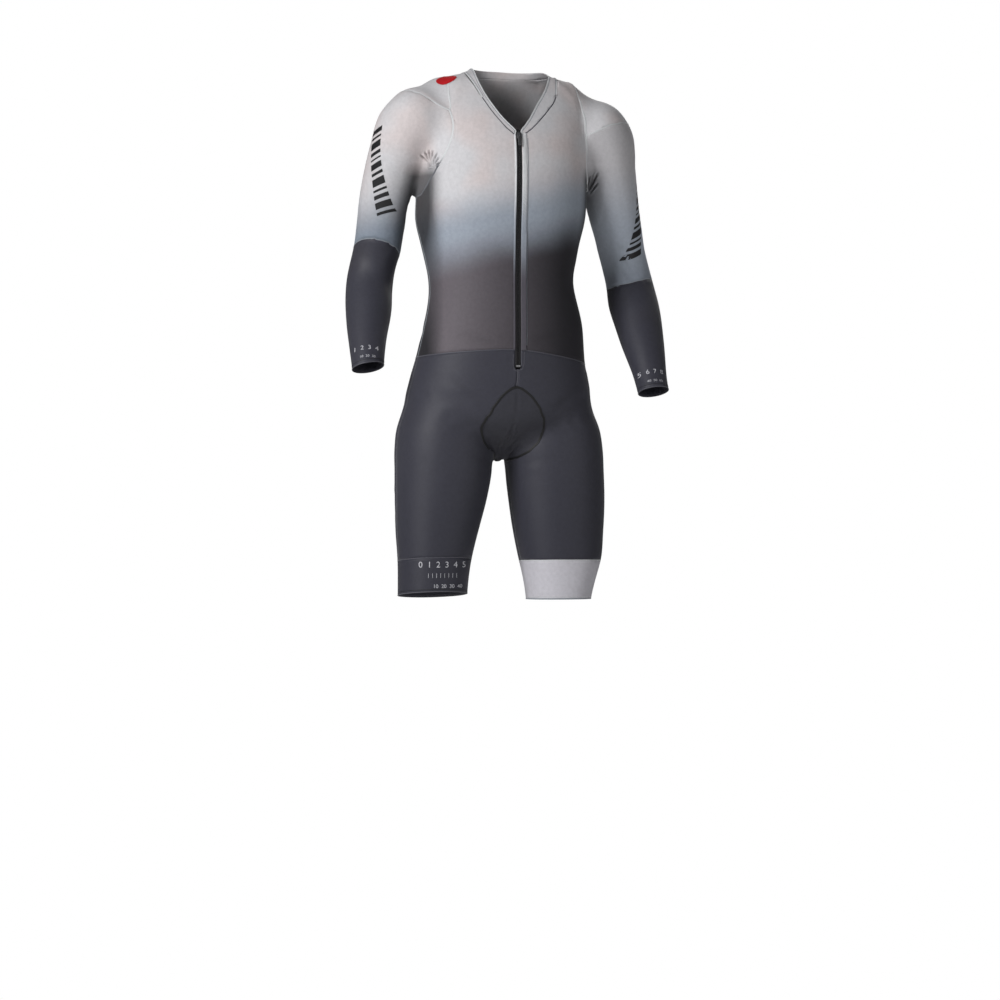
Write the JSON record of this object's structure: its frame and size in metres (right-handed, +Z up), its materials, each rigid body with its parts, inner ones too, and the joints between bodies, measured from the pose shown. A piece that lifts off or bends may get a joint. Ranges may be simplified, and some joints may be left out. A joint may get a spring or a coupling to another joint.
{
  "type": "cycling skinsuit",
  "caption": "One-piece cycling skinsuit in its worn shape, with long sleeves, short legs, a low V collar, a front zip and a padded seat.",
  "frame": {"origin": "middle of the neck at its base, where the wearer's neck and shoulders hold the suit up", "axes": "+Z up along the body, the front faces -Y, +X is the wearer's left"},
  "size_m": [0.5969, 0.2634, 0.9738],
  "materials": {
    "silver_cloth": "thin smooth stretch cloth, pale silver that fades to dark grey",
    "dark_cloth": "thin smooth stretch cloth, dark grey, soft sheen",
    "silver_band": "elastic gripper band, silver",
    "black_tape": "woven zip tape, black",
    "zip_metal": "smooth metal"
  },
  "bodies": {
    "suit": {"back": "silver_cloth", "collar_band": "silver_cloth", "forearm_left": "dark_cloth", "forearm_right": "dark_cloth", "front_left": "silver_cloth", "front_right": "silver_cloth", "leg_band_left": "silver_band", "leg_band_right": "dark_cloth", "seat_pad": "dark_cloth", "shorts_back_left": "dark_cloth", "shorts_back_right": "dark_cloth", "shorts_front_left": "dark_cloth", "shorts_front_right": "dark_cloth", "shoulder_left": "silver_cloth", "shoulder_right": "silver_cloth", "sleeve_left": "silver_cloth", "sleeve_right": "silver_cloth", "zip_binding_left": "silver_cloth", "zip_binding_right": "silver_cloth", "zip_slider": "zip_metal", "zip_stop": "zip_metal", "zip_tape_left": "black_tape", "zip_tape_right": "black_tape"},
    "pull": {"zip_pull": "zip_metal"}
  },
  "joints": [
    {"name": "pull_swing", "type": "hinge", "parent": "suit", "child": "pull", "pos_m": [0, -0.10017, -0.12154], "axis": [-1, 0, 0], "range_deg": [0, 170]}
  ]
}
